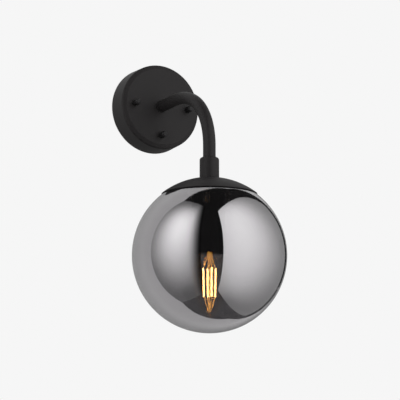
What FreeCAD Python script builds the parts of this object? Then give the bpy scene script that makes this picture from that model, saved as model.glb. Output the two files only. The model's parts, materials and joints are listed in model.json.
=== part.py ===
import FreeCAD, Part
import math
import os

os.makedirs("parts", exist_ok=True)

# Globe wall sconce. Millimetres, +Z up. The origin is the centre of the wall face:
# the wall is the plane Y = 0, and the light stands out from it towards -Y.
# Heights named "..._height" below the cap are measured from the globe's centre.

# ---- driving dimensions: canopy and wall bracket ----
canopy_back_radius = 47.0
canopy_front_radius = 45.9
canopy_side_depth = 22.5
canopy_depth = 24.5
canopy_face_radius = 41.3
canopy_wall = 1.2
canopy_edge_round = 0.5
canopy_shoulder_round = 2.2

bracket_radius = 41.0
bracket_thick = 2.0
inlet_hole_radius = 7.0
inlet_bore_radius = 4.0
grommet_lip = 1.6
grommet_lip_thick = 1.2
slot_spacing_x = 48.0
slot_spacing_z = 40.0
slot_length = 9.0
slot_radius = 2.4

stud_pitch_radius = 31.5
stud_angles = (0.0, 180.0, 270.0)
stud_radius = 2.0
stud_beyond_face = 6.0
stud_nut_flats = 7.0
stud_nut_thick = 3.2
cap_nut_radius = 3.3
cap_nut_length = 9.0
cap_nut_round = 2.0

earth_screw_x = 14.0
earth_screw_z = -24.0
earth_screw_radius = 2.0
earth_head_radius = 3.8
earth_head_thick = 2.4
earth_washer_radius = 4.6
earth_washer_thick = 0.8
earth_slot = 1.0
earth_lead_bend = 8.0

# ---- driving dimensions: terminal block ----
block_width = 20.0
block_reach = 13.5
block_height = 16.0
block_bottom = 17.0
way_spacing = 10.0
way_radius = 2.7
way_offset = 8.7
way_sleeve_wall = 0.7
way_screw_radius = 1.4
way_screw_head_radius = 1.9
way_screw_inset = 4.0
block_screw_radius = 1.4
block_screw_head_radius = 2.6
block_screw_head_thick = 1.8
block_corner = 1.5
way_screw_slot = 0.6

# ---- driving dimensions: arm ----
arm_radius = 6.25
arm_wall = 1.2
arm_straight = 31.5
arm_first_radius = 86.0
arm_first_turn = 26.0
arm_second_radius = 60.0
arm_leg = 18.0
nipple_radius = 5.0
nipple_bore_radius = 3.7
nipple_grip = 14.0
lock_nut_flats = 14.0
lock_nut_thick = 3.0
star_washer_radius = 8.0
star_washer_thick = 0.6
star_teeth = 12
star_notch = 1.2
star_notch_depth = 1.6
nipple_end_past_nut = 1.4

# ---- driving dimensions: collar, cap and globe ----
collar_radius = 9.6
collar_length = 21.2
collar_socket = 6.0
collar_round = 2.8
globe_radius = 75.0
globe_wall = 2.0
globe_hole_radius = 24.0
cap_gap = 0.3
cap_wall = 0.7
cap_rim_radius = 46.8
cap_flat_radius = 10.5

# ---- driving dimensions: spring carrier and globe springs ----
carrier_radius = 21.6
carrier_below_crown = 14.07
carrier_thick = 0.8
ear_radius = 19.4
ear_width = 7.0
ear_length = 11.9
spring_angles = (-8.0, 112.0, 232.0)
spring_width = 5.0
spring_thick = 0.4
spring_touch_gap = 0.3
spring_tip_rise = 0.8
spring_tip_inset = 0.7
spring_bend_rise = 1.3
spring_belly_share = 0.42
rivet_drop = 2.4
rivet_radius = 0.9
rivet_head_radius = 1.7
rivet_head_thick = 0.7

# ---- driving dimensions: lampholder ----
sleeve_radius = 15.0
sleeve_wall = 1.0
sleeve_band_radius = 15.5
sleeve_band_height = 11.7
sleeve_bottom_height = 1.2
holder_radius = 13.6
holder_wall = 1.4
holder_top_thick = 3.0
holder_split_height = 44.0
core_top_height = 48.0
core_bottom_height = 40.0
holder_bottom_height = 12.0
holder_mouth_gap = 0.7
shell_inner_radius = 7.05
shell_wall = 0.4
shell_top_height = 38.0
contact_radius = 2.6
contact_thick = 1.0
contact_post_radius = 1.4
side_contact_width = 2.0
side_contact_thick = 0.3
holder_lead_spacing = 9.2
holder_lead_depth = 4.0
holder_screw_radius = 1.2
holder_screw_length = 5.0
nipple_into_holder = 2.4

# ---- driving dimensions: bulb, a 35 mm candle lamp with a 14 mm screw cap ----
bulb_radius = 17.5
bulb_widest_height = -20.0
bulb_upper_curve = 47.5
bulb_lower_curve = 62.5
bulb_tip_curve = 4.6
bulb_neck_radius = 8.0
bulb_neck_height = 12.6
bulb_wall = 0.7
screw_pitch = 2.82
screw_crest_radius = 6.95
screw_root_radius = 6.35
screw_turns = 6
screw_wall = 0.3
screw_top_height = 33.0
skirt_bottom_height = 10.6
insulator_radius = 5.6
insulator_thick = 1.9
bulb_contact_radius = 2.4
bulb_contact_height = 36.0
stem_flare_height = 12.0
stem_flare_edge = 1.0
stem_flare_run = 5.4
stem_rod_radius = 2.3
stem_bottom_height = -1.0
support_rod_radius = 0.45
bead_radius = 1.2
bead_height = -53.0
filament_count = 4
filament_first_angle = -11.5
filament_radius = 0.9
filament_circle_top = 6.3
filament_circle_bottom = 5.8
filament_top_height = -12.8
filament_bottom_height = -40.2
wire_radius = 0.25

# ---- driving dimensions: leads inside the light ----
lead_radius = 1.05
lead_offset = 1.3
lead_turn_radius = 7.0
lead_into_block = 3.5
lead_side_angle = 35.0
lead_side_radius = 6.0
lead_straight_end = 1.0
earth_lead_radius = 1.0
earth_tag_thick = 0.6
earth_tag_width = 7.0
earth_tag_reach = 15.0

# ---- clearances ----
thread_gap = 0.05
hole_gap = 0.15
seat_gap = 0.1
rest_gap = 0.3

# ---- sizes that follow from the ones above ----
first_turn = math.radians(arm_first_turn)
arm_reach = (canopy_depth + arm_straight + arm_first_radius * math.sin(first_turn)
             + arm_second_radius * (1.0 - math.sin(first_turn)))
bend_bottom = -(arm_first_radius * (1.0 - math.cos(first_turn))
                + arm_second_radius * math.cos(first_turn))
tube_end = bend_bottom - arm_leg
collar_top = tube_end + collar_socket
collar_bottom = collar_top - collar_length
cap_outer_radius = globe_radius + cap_gap + cap_wall
cap_inner_radius = globe_radius + cap_gap
cap_flat_height = math.sqrt(cap_outer_radius ** 2 - cap_flat_radius ** 2)
globe_height = collar_bottom - cap_flat_height
cap_rim_height = math.sqrt(cap_outer_radius ** 2 - cap_rim_radius ** 2)
globe_inner_radius = globe_radius - globe_wall
globe_hole_height = (math.sqrt(globe_radius ** 2 - globe_hole_radius ** 2)
                     + math.sqrt(globe_inner_radius ** 2 - globe_hole_radius ** 2)) / 2
carrier_height = cap_flat_height - carrier_below_crown
carrier_bottom_height = carrier_height - carrier_thick
ear_bottom_height = carrier_bottom_height - ear_length
rivet_height = carrier_bottom_height - rivet_drop
sleeve_top_height = carrier_bottom_height
holder_top_height = sleeve_top_height - sleeve_wall
nipple_end_height = holder_top_height - nipple_into_holder
canopy_inner_depth = canopy_depth - canopy_wall
nut_inner_depth = canopy_inner_depth - star_washer_thick - earth_tag_thick - lock_nut_thick
nipple_inner_depth = nut_inner_depth - nipple_end_past_nut
spring_inner_radius = ear_radius + carrier_thick + thread_gap
spring_outer_radius = spring_inner_radius + spring_thick
spring_touch_radius = globe_hole_radius - spring_touch_gap
thread_low_height = screw_top_height - screw_turns * screw_pitch
holder_mouth_height = thread_low_height + rest_gap
bulb_upper_centre = bulb_radius - bulb_upper_curve
bulb_neck_rise = bulb_neck_height - bulb_widest_height
bulb_neck_in = bulb_neck_radius - bulb_upper_centre
bulb_neck_curve = ((bulb_neck_in ** 2 + bulb_neck_rise ** 2 - bulb_upper_curve ** 2)
                   / (2.0 * (bulb_upper_curve - bulb_neck_in)))
skirt_inner_radius = (bulb_neck_radius + bulb_neck_curve + hole_gap
                      - math.sqrt(bulb_neck_curve ** 2 - (bulb_neck_height - skirt_bottom_height) ** 2))
skirt_radius = skirt_inner_radius + screw_wall
holder_mouth_radius = skirt_radius + holder_mouth_gap


def vec(x, y, z):
    return FreeCAD.Vector(x, y, z)


def outline(start, steps):
    """Closed face in the XZ plane. A step (x, z) is a line, (mx, mz, x, z) an arc through m."""
    edges = []
    here = start
    for step in list(steps) + [start]:
        end = step[-2:]
        a = vec(here[0], 0, here[1])
        b = vec(end[0], 0, end[1])
        if len(step) == 4:
            edges.append(Part.Arc(a, vec(step[0], 0, step[1]), b).toShape())
        elif a.distanceToPoint(b) > 1e-7:
            edges.append(Part.LineSegment(a, b).toShape())
        here = end
    return Part.Face(Part.Wire(edges))


def turned(start, *steps):
    """Solid of revolution about Z from an outline of (radius, height) points."""
    return outline(start, steps).revolve(vec(0, 0, 0), vec(0, 0, 1), 360)


def across(radius, offset):
    """Half the width of a circle or ball at an offset from its centre."""
    return math.sqrt(radius ** 2 - offset ** 2)


def crown(radius, low, rise):
    """Arc step for a ball's cap: from (radius, low) over to the axis at low + rise."""
    ball = (radius ** 2 + rise ** 2) / (2.0 * abs(rise))
    half = math.asin(radius / ball) / 2
    side = math.copysign(1.0, rise)
    return ball * math.sin(half), low + rise - side * ball * (1.0 - math.cos(half)), 0, low + rise


def ring(outer, inner, low, high):
    return turned((inner, low), (outer, low), (outer, high), (inner, high))


def rod(radius, low, high):
    return Part.makeCylinder(radius, high - low, vec(0, 0, low))


def from_wall(shape):
    """Turn a shape built up +Z so that it stands out from the wall towards -Y."""
    turned_shape = shape.copy()
    turned_shape.rotate(vec(0, 0, 0), vec(1, 0, 0), 90)
    return turned_shape


def on_drop(shape):
    """Move a shape built about the globe's centre to its place under the arm."""
    placed = shape.copy()
    placed.translate(vec(0, -arm_reach, globe_height))
    return placed


def around_z(shape, angles):
    copies = []
    for angle in angles:
        one = shape.copy()
        one.rotate(vec(0, 0, 0), vec(0, 0, 1), angle)
        copies.append(one)
    return copies


def around_wall_axis(shape, angles):
    """Copies of a shape at +X, swung about the Y axis so that 90 degrees is straight up."""
    copies = []
    for angle in angles:
        one = shape.copy()
        one.rotate(vec(0, 0, 0), vec(0, -1, 0), angle)
        copies.append(one)
    return copies


def hex_nut(flats, thick, bore):
    """Hexagon nut with turned-off corners, standing on Z = 0."""
    corner = flats / math.sqrt(3.0)
    points = [vec(corner * math.cos(math.radians(60 * k)), corner * math.sin(math.radians(60 * k)), 0)
              for k in range(7)]
    prism = Part.Face(Part.makePolygon(points)).extrude(vec(0, 0, thick))
    bevel = corner - flats / 2.0
    blank = turned((0, 0), (corner - bevel, 0), (corner, bevel / 2), (corner, thick - bevel / 2),
                   (corner - bevel, thick), (0, thick))
    return prism.common(blank).cut(rod(bore, -1, thick + 1))


def rounded_slot(length, radius, thick):
    half = length / 2.0 - radius
    middle = Part.makeBox(2 * half, 2 * radius, thick, vec(-half, -radius, 0))
    ends = [Part.makeCylinder(radius, thick, vec(side * half, 0, 0)) for side in (-1, 1)]
    return middle.fuse(ends).removeSplitter()


def round_edges(shape, radius, amount):
    """Fillet the circular edges of the given radius about the turning axis."""
    edges = [e for e in shape.Edges
             if isinstance(e.Curve, Part.Circle) and abs(e.Curve.Radius - radius) < 0.001]
    return shape.makeFillet(amount, edges)


def sweep_round(path_edges, radius):
    """Round bar along a path of tangent lines and arcs."""
    path = Part.Wire(path_edges)
    start = path_edges[0].valueAt(path_edges[0].FirstParameter)
    heading = path_edges[0].tangentAt(path_edges[0].FirstParameter)
    section = Part.Wire(Part.makeCircle(radius, start, heading))
    bar = path.makePipeShell([section], True, False)
    expected = math.pi * radius ** 2 * path.Length
    print("sweep of %.1f mm: volume over section times length = %.4f" % (path.Length, bar.Volume / expected))
    return bar


def line_edge(a, b):
    return Part.LineSegment(a, b).toShape()


def arc_edge(a, middle, b):
    return Part.Arc(a, middle, b).toShape()


# ---- canopy and wall bracket ----

def canopy():
    """Pressed steel cup with a sloped front edge, open to the wall."""
    def cup(inset):
        return turned((0, 0), (canopy_back_radius - inset, 0),
                      (canopy_front_radius - inset, canopy_side_depth - inset),
                      (canopy_face_radius - inset, canopy_depth - inset), (0, canopy_depth - inset))
    outside = round_edges(cup(0), canopy_front_radius, canopy_shoulder_round)
    outside = round_edges(outside, canopy_face_radius, canopy_edge_round)
    shell = outside.cut(cup(canopy_wall))
    shell = shell.cut(rod(nipple_radius + hole_gap, 0, canopy_depth + 1))
    stud_hole = rod(stud_radius + hole_gap, 0, canopy_depth + 1)
    stud_hole.translate(vec(stud_pitch_radius, 0, 0))
    shell = from_wall(shell)
    return shell.cut(around_wall_axis(from_wall(stud_hole), stud_angles))


def wall_bracket():
    """Steel disc that screws flat to the wall and carries the studs."""
    plate = ring(bracket_radius, inlet_hole_radius, 0, bracket_thick)
    cuts = []
    for sx in (-1, 1):
        for sz in (-1, 1):
            slot = rounded_slot(slot_length, slot_radius, bracket_thick)
            slot.translate(vec(sx * slot_spacing_x / 2, sz * slot_spacing_z / 2, 0))
            cuts.append(slot)
    earth_hole = rod(earth_screw_radius + thread_gap, 0, bracket_thick)
    earth_hole.translate(vec(earth_screw_x, earth_screw_z, 0))
    block_hole = rod(block_screw_radius + thread_gap, 0, bracket_thick)
    block_hole.translate(vec(0, block_bottom + block_height / 2, 0))
    plate = from_wall(plate.cut(cuts + [earth_hole, block_hole]))
    stud_hole = rod(stud_radius + thread_gap, 0, bracket_thick)
    stud_hole.translate(vec(stud_pitch_radius, 0, 0))
    return plate.cut(around_wall_axis(from_wall(stud_hole), stud_angles))


def bracket_studs():
    stud = rod(stud_radius, 0, canopy_depth + stud_beyond_face)
    stud.translate(vec(stud_pitch_radius, 0, 0))
    return around_wall_axis(from_wall(stud), stud_angles)


def stud_nuts():
    nut = hex_nut(stud_nut_flats, stud_nut_thick, stud_radius + thread_gap)
    nut.translate(vec(stud_pitch_radius, 0, bracket_thick))
    return around_wall_axis(from_wall(nut), stud_angles)


def cap_nuts():
    """Round barrel nuts with a domed end that hold the canopy on its studs."""
    top = cap_nut_length
    r = cap_nut_radius
    bend = cap_nut_round * (1.0 - math.sqrt(0.5))
    body = turned((0, 0), (r, 0), (r, top - cap_nut_round),
                  (r - bend, top - bend, r - cap_nut_round, top), (0, top))
    nut = body.cut(rod(stud_radius + thread_gap, 0, stud_beyond_face + rest_gap))
    nut.translate(vec(stud_pitch_radius, 0, canopy_depth))
    return around_wall_axis(from_wall(nut), stud_angles)


def inlet_grommet():
    """Rubber bush in the bracket's cable hole, with a lip on the front side only."""
    neck = inlet_hole_radius - thread_gap
    bush = turned((inlet_bore_radius, 0), (neck, 0), (neck, bracket_thick),
                  (neck + grommet_lip, bracket_thick),
                  (neck + grommet_lip, bracket_thick + grommet_lip_thick),
                  (inlet_bore_radius, bracket_thick + grommet_lip_thick))
    return from_wall(bush)


def earth_screw():
    """Brass earth screw in the bracket, with a slotted head over the lead's end."""
    seat = bracket_thick + earth_washer_thick + 2 * earth_lead_radius + seat_gap
    shank = rod(earth_screw_radius, 0, seat)
    head = rod(earth_head_radius, seat, seat + earth_head_thick)
    slot = Part.makeBox(2 * earth_head_radius, earth_slot, earth_slot,
                        vec(-earth_head_radius, -earth_slot / 2, seat + earth_head_thick - earth_slot))
    screw = shank.fuse(head).removeSplitter().cut(slot)
    screw.translate(vec(earth_screw_x, earth_screw_z, 0))
    return from_wall(screw)


def earth_washer():
    washer = ring(earth_washer_radius, earth_screw_radius + hole_gap,
                  bracket_thick, bracket_thick + earth_washer_thick)
    washer.translate(vec(earth_screw_x, earth_screw_z, 0))
    return from_wall(washer)


def earth_direction():
    return math.degrees(math.atan2(earth_screw_z, earth_screw_x))


def earth_tag():
    """Tinned tag clamped under the arm's lock nut, with an ear for the earth lead."""
    low = nut_inner_depth + lock_nut_thick
    plate = rod(star_washer_radius, low, low + earth_tag_thick)
    ear = Part.makeBox(earth_tag_reach, earth_tag_width, earth_tag_thick, vec(0, -earth_tag_width / 2, low))
    hole = rod(nipple_radius + hole_gap, low, low + earth_tag_thick)
    tag = plate.fuse(ear).removeSplitter().cut(hole)
    return around_wall_axis(from_wall(tag), [earth_direction()])[0]


def earth_lead():
    """Short lead from the tag on the arm's nipple to the earth screw."""
    out = earth_tag_reach - earth_tag_width / 2
    low = bracket_thick + earth_washer_thick + earth_lead_radius + seat_gap / 2
    bend = earth_lead_bend
    top = nut_inner_depth + lock_nut_thick
    screw_out = math.hypot(earth_screw_x, earth_screw_z)
    stop = screw_out - earth_screw_radius - rest_gap
    slant = bend * math.sqrt(0.5)
    path = [line_edge(vec(out, -top, 0), vec(out, -(low + bend), 0)),
            arc_edge(vec(out, -(low + bend), 0), vec(out + bend - slant, -(low + bend - slant), 0),
                     vec(out + bend, -low, 0)),
            line_edge(vec(out + bend, -low, 0), vec(stop, -low, 0))]
    lead = sweep_round(path, earth_lead_radius)
    return around_wall_axis(lead, [earth_direction()])[0]


# ---- terminal block ----

def way_depth():
    return bracket_thick + way_offset


def way_screw_points():
    """Where the four clamping screws stand, as (x, z)."""
    heights = (block_bottom + way_screw_inset, block_bottom + block_height - way_screw_inset)
    return [(side * way_spacing / 2, z) for side in (-1, 1) for z in heights]


def terminal_block():
    """Moulded block with two through ways for the leads."""
    block = Part.makeBox(block_width, block_reach, block_height,
                         vec(-block_width / 2, -(bracket_thick + block_reach), block_bottom))
    upright = [e for e in block.Edges if abs(e.tangentAt(e.FirstParameter).z) > 0.99]
    block = block.makeFillet(block_corner, upright)
    cuts = []
    for side in (-1, 1):
        cuts.append(Part.makeCylinder(way_radius, block_height,
                                      vec(side * way_spacing / 2, -way_depth(), block_bottom)))
    for x, z in way_screw_points():
        cuts.append(Part.makeCylinder(way_screw_head_radius + hole_gap, block_reach,
                                      vec(x, -way_depth(), z), vec(0, -1, 0)))
    cuts.append(Part.makeCylinder(block_screw_radius + hole_gap, block_reach + bracket_thick,
                                  vec(0, 0, block_bottom + block_height / 2), vec(0, -1, 0)))
    return block.cut(cuts)


def terminal_sleeves():
    """Brass tubes in the block's ways, tapped for the clamping screws."""
    sleeves = []
    outer = way_radius - thread_gap
    for side in (-1, 1):
        tube = ring(outer, outer - way_sleeve_wall, block_bottom, block_bottom + block_height)
        tube.translate(vec(side * way_spacing / 2, -way_depth(), 0))
        holes = [Part.makeCylinder(way_screw_radius + thread_gap, block_reach, vec(x, -way_depth(), z),
                                   vec(0, -1, 0)) for x, z in way_screw_points()]
        sleeves.append(tube.cut(holes))
    return sleeves


def terminal_screws():
    """Clamping screws, their tips just clear of the leads."""
    tip = way_depth() + lead_radius + rest_gap
    seat = way_depth() + way_radius + rest_gap
    top = bracket_thick + block_reach - rest_gap
    screws = []
    for x, z in way_screw_points():
        shank = rod(way_screw_radius, tip, seat)
        head = rod(way_screw_head_radius, seat, top)
        slot = Part.makeBox(2 * way_screw_head_radius, way_screw_slot, way_screw_slot,
                            vec(-way_screw_head_radius, -way_screw_slot / 2, top - way_screw_slot))
        screw = shank.fuse(head).removeSplitter().cut(slot)
        screw.translate(vec(x, z, 0))
        screws.append(from_wall(screw))
    return screws


def block_screw():
    """Screw that holds the terminal block on the bracket."""
    face = bracket_thick + block_reach
    shank = rod(block_screw_radius, 0, face)
    head = turned((0, face), (block_screw_head_radius, face),
                  (block_screw_head_radius, face + block_screw_head_thick / 2),
                  (block_screw_head_radius / 2, face + block_screw_head_thick),
                  (0, face + block_screw_head_thick))
    screw = shank.fuse(head).removeSplitter()
    screw.translate(vec(0, block_bottom + block_height / 2, 0))
    return from_wall(screw)


# ---- arm ----

def first_bend_point(angle, x, offset):
    """A point on the arm's first bend, at an angle in radians from its start."""
    r = arm_first_radius
    return vec(x, -(offset + r * math.sin(angle)), -r * (1.0 - math.cos(angle)))


def second_bend_point(angle, x, start):
    """A point on the second bend, which begins at the first turn's angle."""
    r = arm_second_radius
    return vec(x, start.y - r * (math.sin(angle) - math.sin(first_turn)),
               start.z - r * (math.cos(first_turn) - math.cos(angle)))


def arm_path(x, start_depth, end_z):
    """The arm's line, shifted sideways by x: out of the wall, over two bends and down."""
    bend_start = canopy_depth + arm_straight
    right_angle = math.pi / 2
    a = vec(x, -start_depth, 0)
    b = first_bend_point(0.0, x, bend_start)
    b_mid = first_bend_point(first_turn / 2, x, bend_start)
    c = first_bend_point(first_turn, x, bend_start)
    c_mid = second_bend_point((first_turn + right_angle) / 2, x, c)
    d = second_bend_point(right_angle, x, c)
    e = vec(x, d.y, end_z)
    return [line_edge(a, b), arc_edge(b, b_mid, c), arc_edge(c, c_mid, d), line_edge(d, e)]


def arm_tube():
    """Bent steel tube, square to the canopy and plumb over the globe."""
    outside = sweep_round(arm_path(0, canopy_depth, tube_end), arm_radius)
    bore = sweep_round(arm_path(0, canopy_depth, tube_end), arm_radius - arm_wall)
    return outside.cut(bore)


def arm_nipple():
    """Threaded pipe brazed into the arm's root, through the canopy."""
    pipe = ring(nipple_radius, nipple_bore_radius, nipple_inner_depth, canopy_depth + nipple_grip)
    return from_wall(pipe)


def arm_lock_nut():
    nut = hex_nut(lock_nut_flats, lock_nut_thick, nipple_radius + thread_gap)
    nut.translate(vec(0, 0, nut_inner_depth))
    return from_wall(nut)


def star_washer(low):
    """Thin washer with teeth round its rim."""
    disc = ring(star_washer_radius, nipple_radius + thread_gap, low, low + star_washer_thick)
    notch = Part.makeBox(star_washer_radius, star_notch, star_washer_thick,
                         vec(star_washer_radius - star_notch_depth, -star_notch / 2, low))
    step = 360.0 / star_teeth
    return disc.cut(around_z(notch, [step * k for k in range(star_teeth)]))


def arm_star_washer():
    return from_wall(star_washer(canopy_inner_depth - star_washer_thick))


def drop_nipple():
    """Threaded pipe from the arm's lower end down to the lampholder."""
    low = globe_height + nipple_end_height
    pipe = ring(nipple_radius, nipple_bore_radius, low, tube_end + nipple_grip)
    pipe.translate(vec(0, -arm_reach, 0))
    return pipe


# ---- collar, cap and globe ----

def collar():
    """Turned coupling that covers the arm's end and bears on the cap."""
    r = collar_radius
    bend = collar_round * (1.0 - math.sqrt(0.5))
    socket = arm_radius + thread_gap
    bore = nipple_radius + thread_gap
    body = turned((bore, collar_bottom), (r, collar_bottom), (r, collar_top - collar_round),
                  (r - bend, collar_top - bend, r - collar_round, collar_top), (socket, collar_top),
                  (socket, collar_top - collar_socket), (bore, collar_top - collar_socket))
    body.translate(vec(0, -arm_reach, 0))
    return body


def globe_cap():
    """Spun dome that follows the globe, with a flat crown for the collar."""
    outer = cap_outer_radius
    inner = cap_inner_radius
    crown_low = cap_flat_height - cap_wall
    rim_out = vec(across(outer, cap_rim_height), 0, cap_rim_height)
    rim_in = rim_out * (inner / outer)
    crown_in = across(inner, crown_low)
    bore = nipple_radius + hole_gap
    rim_angle = math.atan2(rim_out.x, rim_out.z)
    out_mid = (rim_angle + math.asin(cap_flat_radius / outer)) / 2
    in_mid = (rim_angle + math.asin(crown_in / inner)) / 2
    dome = turned((bore, crown_low), (crown_in, crown_low),
                  (inner * math.sin(in_mid), inner * math.cos(in_mid), rim_in.x, rim_in.z),
                  (rim_out.x, rim_out.z),
                  (outer * math.sin(out_mid), outer * math.cos(out_mid), cap_flat_radius, cap_flat_height),
                  (bore, cap_flat_height))
    return on_drop(dome)


def cap_star_washer():
    return on_drop(star_washer(cap_flat_height - cap_wall - star_washer_thick))


def cap_lock_nut():
    nut = hex_nut(lock_nut_flats, lock_nut_thick, nipple_radius + thread_gap)
    nut.translate(vec(0, 0, cap_flat_height - cap_wall - star_washer_thick - lock_nut_thick))
    return on_drop(nut)


def glass_globe():
    """Blown smoked glass ball with a ground hole at its top."""
    outer = globe_radius
    inner = globe_inner_radius
    hole = globe_hole_radius
    ball = turned((hole, across(inner, hole)), (inner, 0, 0, -inner), (0, -outer),
                  (outer, 0, hole, across(outer, hole)))
    return on_drop(ball)


# ---- spring carrier ----

def spring_carrier():
    """Steel disc on the nipple with three ears for the globe springs."""
    low = carrier_bottom_height
    disc = ring(carrier_radius, nipple_radius + hole_gap, low, carrier_height)
    ear = Part.makeBox(carrier_thick, ear_width, low - ear_bottom_height,
                       vec(ear_radius, -ear_width / 2, ear_bottom_height))
    window = Part.makeBox(carrier_radius, spring_width + 2 * rest_gap, carrier_thick,
                          vec(ear_radius + carrier_thick, -(spring_width / 2 + rest_gap), low))
    hole = Part.makeCylinder(rivet_radius + thread_gap, 2 * carrier_thick,
                             vec(ear_radius - carrier_thick / 2, 0, rivet_height), vec(1, 0, 0))
    body = disc.fuse(around_z(ear, spring_angles)).removeSplitter()
    body = body.cut(around_z(window, spring_angles)).cut(around_z(hole, spring_angles))
    return on_drop(body)


def globe_springs():
    """Leaf springs that bow out against the edge of the globe's hole."""
    low = ear_bottom_height
    bend = carrier_height + spring_bend_rise
    touch = globe_hole_height
    tip = touch + spring_tip_rise
    out0 = spring_outer_radius
    out1 = spring_touch_radius
    belly = out0 + (out1 - out0) * spring_belly_share
    middle = (bend + touch) / 2
    t = spring_thick
    leaf = outline((out0, low), [(out0, bend), (belly, middle, out1, touch),
                                 (out1 - spring_tip_inset, tip), (out1 - spring_tip_inset - t, tip),
                                 (out1 - t, touch), (belly - t, middle, out0 - t, bend), (out0 - t, low)])
    leaf = leaf.extrude(vec(0, spring_width, 0))
    leaf.translate(vec(0, -spring_width / 2, 0))
    hole = Part.makeCylinder(rivet_radius + thread_gap, 2 * carrier_thick,
                             vec(out0 - carrier_thick, 0, rivet_height), vec(1, 0, 0))
    return [on_drop(one) for one in around_z(leaf.cut(hole), spring_angles)]


def spring_rivets():
    """Domed rivets through spring and ear."""
    inner = ear_radius - seat_gap / 2
    outer = spring_outer_radius + seat_gap / 2
    r = rivet_head_radius
    under = crown(r, inner, -rivet_head_thick)
    rivet = turned((0, inner - rivet_head_thick), under[:2] + (r, inner), (rivet_radius, inner),
                   (rivet_radius, outer), (r, outer), crown(r, outer, rivet_head_thick))
    rivet.rotate(vec(0, 0, 0), vec(0, 1, 0), 90)
    rivet.translate(vec(0, 0, rivet_height))
    return [on_drop(one) for one in around_z(rivet, spring_angles)]


def carrier_nut():
    nut = hex_nut(lock_nut_flats, lock_nut_thick, nipple_radius + thread_gap)
    nut.translate(vec(0, 0, carrier_height))
    return on_drop(nut)


# ---- lampholder ----

def holder_sleeve():
    """Black steel tube over the lampholder, with a thicker band at its mouth."""
    r = sleeve_radius
    inner = r - sleeve_wall
    top = sleeve_top_height
    low = sleeve_bottom_height
    tube = turned((nipple_radius + hole_gap, top - sleeve_wall), (inner, top - sleeve_wall), (inner, low),
                  (sleeve_band_radius, low), (sleeve_band_radius, sleeve_band_height),
                  (r, sleeve_band_height), (r, top), (nipple_radius + hole_gap, top))
    return on_drop(tube)


def holder_top():
    """Moulded upper half of the lampholder, screwed on the nipple."""
    r = holder_radius
    inner = r - holder_wall
    top = holder_top_height
    under = top - holder_top_thick
    split = holder_split_height
    cup = turned((nipple_radius + thread_gap, under), (inner, under), (inner, split), (r, split),
                 (r, top), (nipple_radius + thread_gap, top))
    return on_drop(cup)


def holder_lead_points():
    return [side * holder_lead_spacing / 2 for side in (-1, 1)]


def holder_core():
    """Ceramic disc that carries the contacts and takes the leads."""
    r = holder_radius - holder_wall - hole_gap
    disc = rod(r, core_bottom_height, core_top_height)
    cuts = []
    for x in holder_lead_points():
        cuts.append(Part.makeCylinder(lead_radius + hole_gap, holder_lead_depth,
                                      vec(x, 0, core_top_height - holder_lead_depth)))
        cuts.append(Part.makeCylinder(holder_screw_radius + thread_gap, r,
                                      vec(x, -lead_radius, core_top_height - holder_lead_depth / 2),
                                      vec(0, -1, 0)))
    return on_drop(disc.cut(cuts))


def holder_screws():
    """Terminal screws in the core's side that clamp the leads."""
    screws = []
    for x in holder_lead_points():
        start = -(lead_radius + rest_gap)
        screws.append(on_drop(Part.makeCylinder(holder_screw_radius, holder_screw_length,
                                                vec(x, start, core_top_height - holder_lead_depth / 2),
                                                vec(0, -1, 0))))
    return screws


def holder_body():
    """Moulded lower half of the lampholder round the threaded shell."""
    r = holder_radius
    inner = r - holder_wall
    bore = shell_inner_radius + shell_wall + thread_gap
    body = turned((bore, holder_mouth_height), (holder_mouth_radius, holder_mouth_height),
                  (holder_mouth_radius, holder_bottom_height), (r, holder_bottom_height),
                  (r, holder_split_height), (inner, holder_split_height), (inner, core_bottom_height),
                  (bore, core_bottom_height))
    return on_drop(body)


def thread_shell():
    """Brass shell that takes the bulb's screw cap."""
    inner = shell_inner_radius
    return on_drop(ring(inner + shell_wall, inner, holder_mouth_height, shell_top_height))


def side_contact():
    """Strip that joins the threaded shell to the core."""
    x = across(shell_inner_radius + shell_wall, side_contact_width / 2) - side_contact_thick
    strip = Part.makeBox(side_contact_thick, side_contact_width, core_bottom_height - shell_top_height,
                         vec(x, -side_contact_width / 2, shell_top_height))
    return on_drop(strip)


def centre_contact():
    """Sprung brass pad over the bulb's tip, on its post."""
    low = bulb_contact_height + rest_gap
    pad = rod(contact_radius, low, low + contact_thick)
    post = rod(contact_post_radius, low + contact_thick, core_bottom_height)
    return on_drop(pad.fuse(post).removeSplitter())


# ---- bulb ----

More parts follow.
